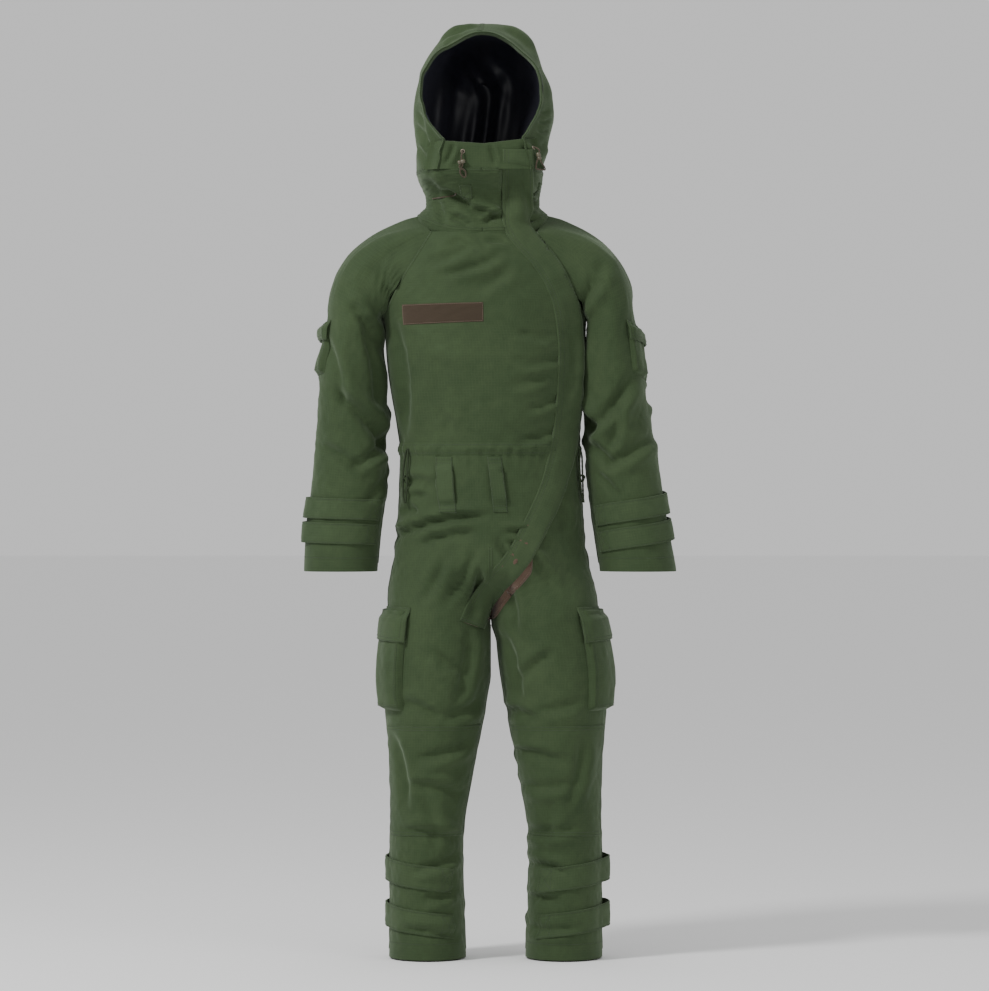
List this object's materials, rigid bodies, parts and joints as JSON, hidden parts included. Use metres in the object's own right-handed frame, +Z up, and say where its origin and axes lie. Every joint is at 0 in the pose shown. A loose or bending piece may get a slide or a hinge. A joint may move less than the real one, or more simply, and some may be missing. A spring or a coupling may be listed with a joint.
{
  "type": "hooded protective coverall",
  "caption": "Hooded one-piece protective coverall in olive twill with raglan sleeves, curved front zip under a storm flap, bellows pockets and wrist and ankle tabs.",
  "frame": {"origin": "middle of the neck base, where a hanger or a dummy carries the shoulders", "axes": "+Z up, -Y out of the wearer's chest, +X to the wearer's left"},
  "size_m": [0.7213, 0.2986, 1.799],
  "materials": {
    "twill_green": "matt olive-green cotton twill",
    "twill_green_light": "matt olive-green cotton twill, sewn double",
    "lining_satin": "black satin with a soft sheen",
    "hook_loop_brown": "brown loop pile or woven tape",
    "cord_brown": "braided cord",
    "toggle_plastic": "moulded brown plastic",
    "zip_metal": "dull metal"
  },
  "bodies": {
    "torso": {"front_panel_right": "twill_green", "front_panel_left": "twill_green", "back_panel": "twill_green", "shoulder_left": "twill_green", "shoulder_right": "twill_green", "lower_front_right": "twill_green", "lower_front_left": "twill_green", "seat_panel": "twill_green", "crotch_gusset": "twill_green", "waist_channel": "twill_green_light", "collar": "twill_green_light", "zip_tape": "hook_loop_brown", "storm_flap": "twill_green_light", "name_panel": "hook_loop_brown", "belt_loop_left": "twill_green_light", "belt_loop_right": "twill_green_light", "waist_cord_left": "cord_brown", "waist_cord_right": "cord_brown", "cord_tab_left": "twill_green_light", "cord_tab_right": "twill_green_light"},
    "zip_slider": {"zip_slider": "zip_metal"},
    "hood": {"hood_shell_left": "twill_green", "hood_shell_right": "twill_green", "hood_lining_left": "lining_satin", "hood_lining_right": "lining_satin", "chin_guard": "twill_green", "hood_cord_left": "cord_brown", "hood_cord_right": "cord_brown"},
    "cord_lock_left": {"cord_lock_left": "toggle_plastic"},
    "cord_lock_right": {"cord_lock_right": "toggle_plastic"},
    "upper_arm_left": {"upper_sleeve_left": "twill_green", "sleeve_pocket_left": "twill_green"},
    "sleeve_flap_left": {"sleeve_flap_left": "twill_green_light"},
    "forearm_left": {"lower_sleeve_left": "twill_green"},
    "cuff_tab_upper_left": {"cuff_tab_upper_left": "twill_green_light"},
    "cuff_tab_lower_left": {"cuff_tab_lower_left": "twill_green_light"},
    "upper_leg_left": {"thigh_left": "twill_green", "cargo_pocket_left": "twill_green"},
    "cargo_flap_left": {"cargo_flap_left": "twill_green_light"},
    "lower_leg_left": {"shin_left": "twill_green", "knee_panel_left": "twill_green_light"},
    "ankle_tab_upper_left": {"ankle_tab_upper_left": "twill_green_light"},
    "ankle_tab_lower_left": {"ankle_tab_lower_left": "twill_green_light"},
    "upper_arm_right": {"upper_sleeve_right": "twill_green", "sleeve_pocket_right": "twill_green"},
    "sleeve_flap_right": {"sleeve_flap_right": "twill_green_light"},
    "forearm_right": {"lower_sleeve_right": "twill_green"},
    "cuff_tab_upper_right": {"cuff_tab_upper_right": "twill_green_light"},
    "cuff_tab_lower_right": {"cuff_tab_lower_right": "twill_green_light"},
    "upper_leg_right": {"thigh_right": "twill_green", "cargo_pocket_right": "twill_green"},
    "cargo_flap_right": {"cargo_flap_right": "twill_green_light"},
    "lower_leg_right": {"shin_right": "twill_green", "knee_panel_right": "twill_green_light"},
    "ankle_tab_upper_right": {"ankle_tab_upper_right": "twill_green_light"},
    "ankle_tab_lower_right": {"ankle_tab_lower_right": "twill_green_light"}
  },
  "joints": [
    {"name": "hood_fold", "type": "hinge", "parent": "torso", "child": "hood", "pos_m": [0, 0.1, 0.1175], "axis": [-1, 0, 0], "range_deg": [0, 50]},
    {"name": "zip_slide", "type": "slide", "parent": "torso", "child": "zip_slider", "axis": [0, 0, 1], "range_m": [-0.055, 0]},
    {"name": "cord_lock_slide_left", "type": "slide", "parent": "hood", "child": "cord_lock_left", "axis": [0, 0, 1], "range_m": [-0.02, 0]},
    {"name": "cord_lock_slide_right", "type": "slide", "parent": "hood", "child": "cord_lock_right", "axis": [0, 0, 1], "range_m": [-0.02, 0]},
    {"name": "shoulder_left", "type": "hinge", "parent": "torso", "child": "upper_arm_left", "pos_m": [0.222, 0, -0.078], "axis": [0, -1, 0], "range_deg": [0, 45]},
    {"name": "elbow_left", "type": "hinge", "parent": "upper_arm_left", "child": "forearm_left", "pos_m": [0.245, 0.004, -0.375], "axis": [-1, 0, 0], "range_deg": [0, 50]},
    {"name": "hip_left", "type": "hinge", "parent": "torso", "child": "upper_leg_left", "pos_m": [0.106, 0, -0.62], "axis": [-1, 0, 0], "range_deg": [-15, 35]},
    {"name": "knee_left", "type": "hinge", "parent": "upper_leg_left", "child": "lower_leg_left", "pos_m": [0.13269, 0, -0.975], "axis": [1, 0, 0], "range_deg": [0, 55]},
    {"name": "sleeve_flap_lift_left", "type": "hinge", "parent": "upper_arm_left", "child": "sleeve_flap_left", "pos_m": [0.29735, -0.01299, -0.166], "axis": [-0.1006, -0.9949, 0], "range_deg": [0, 75]},
    {"name": "cargo_flap_lift_left", "type": "hinge", "parent": "upper_leg_left", "child": "cargo_flap_left", "pos_m": [0.22768, -0.01432, -0.714], "axis": [-0.1081, -0.9941, 0], "range_deg": [0, 75]},
    {"name": "cuff_tab_upper_open_left", "type": "hinge", "parent": "forearm_left", "child": "cuff_tab_upper_left", "pos_m": [0.20492, -0.0363, -0.54082], "axis": [0.1332, -0.0548, -0.9896], "range_deg": [0, 55]},
    {"name": "cuff_tab_lower_open_left", "type": "hinge", "parent": "forearm_left", "child": "cuff_tab_lower_left", "pos_m": [0.21254, -0.0388, -0.59082], "axis": [0.1618, -0.0458, -0.9858], "range_deg": [0, 55]},
    {"name": "ankle_tab_upper_open_left", "type": "hinge", "parent": "lower_leg_left", "child": "ankle_tab_upper_left", "pos_m": [0.09617, -0.05716, -1.23991], "axis": [0, 0, -1], "range_deg": [0, 60]},
    {"name": "ankle_tab_lower_open_left", "type": "hinge", "parent": "lower_leg_left", "child": "ankle_tab_lower_left", "pos_m": [0.09353, -0.05691, -1.32791], "axis": [0, 0, -1], "range_deg": [0, 60]},
    {"name": "shoulder_right", "type": "hinge", "parent": "torso", "child": "upper_arm_right", "pos_m": [-0.246, 0, -0.078], "axis": [0, 1, 0], "range_deg": [0, 45]},
    {"name": "elbow_right", "type": "hinge", "parent": "upper_arm_right", "child": "forearm_right", "pos_m": [-0.264, 0.004, -0.375], "axis": [-1, 0, 0], "range_deg": [0, 50]},
    {"name": "hip_right", "type": "hinge", "parent": "torso", "child": "upper_leg_right", "pos_m": [-0.094, 0, -0.62], "axis": [-1, 0, 0], "range_deg": [-15, 35]},
    {"name": "knee_right", "type": "hinge", "parent": "upper_leg_right", "child": "lower_leg_right", "pos_m": [-0.10669, 0, -0.975], "axis": [1, 0, 0], "range_deg": [0, 55]},
    {"name": "sleeve_flap_lift_right", "type": "hinge", "parent": "upper_arm_right", "child": "sleeve_flap_right", "pos_m": [-0.33199, 0.00059, -0.166], "axis": [-0.023, 0.9997, 0], "range_deg": [0, 75]},
    {"name": "cargo_flap_lift_right", "type": "hinge", "parent": "upper_leg_right", "child": "cargo_flap_right", "pos_m": [-0.21082, -0.01432, -0.714], "axis": [-0.1081, 0.9941, 0], "range_deg": [0, 75]},
    {"name": "cuff_tab_upper_open_right", "type": "hinge", "parent": "forearm_right", "child": "cuff_tab_upper_right", "pos_m": [-0.20977, -0.03565, -0.52916], "axis": [0.1818, 0.0545, 0.9818], "range_deg": [0, 55]},
    {"name": "cuff_tab_lower_open_right", "type": "hinge", "parent": "forearm_right", "child": "cuff_tab_lower_right", "pos_m": [-0.21676, -0.03812, -0.57616], "axis": [0.0884, 0.0471, 0.995], "range_deg": [0, 55]},
    {"name": "ankle_tab_upper_open_right", "type": "hinge", "parent": "lower_leg_right", "child": "ankle_tab_upper_right", "pos_m": [-0.07017, -0.05716, -1.23991], "axis": [0, 0, 1], "range_deg": [0, 60]},
    {"name": "ankle_tab_lower_open_right", "type": "hinge", "parent": "lower_leg_right", "child": "ankle_tab_lower_right", "pos_m": [-0.06753, -0.05691, -1.32791], "axis": [0, 0, 1], "range_deg": [0, 60]}
  ]
}
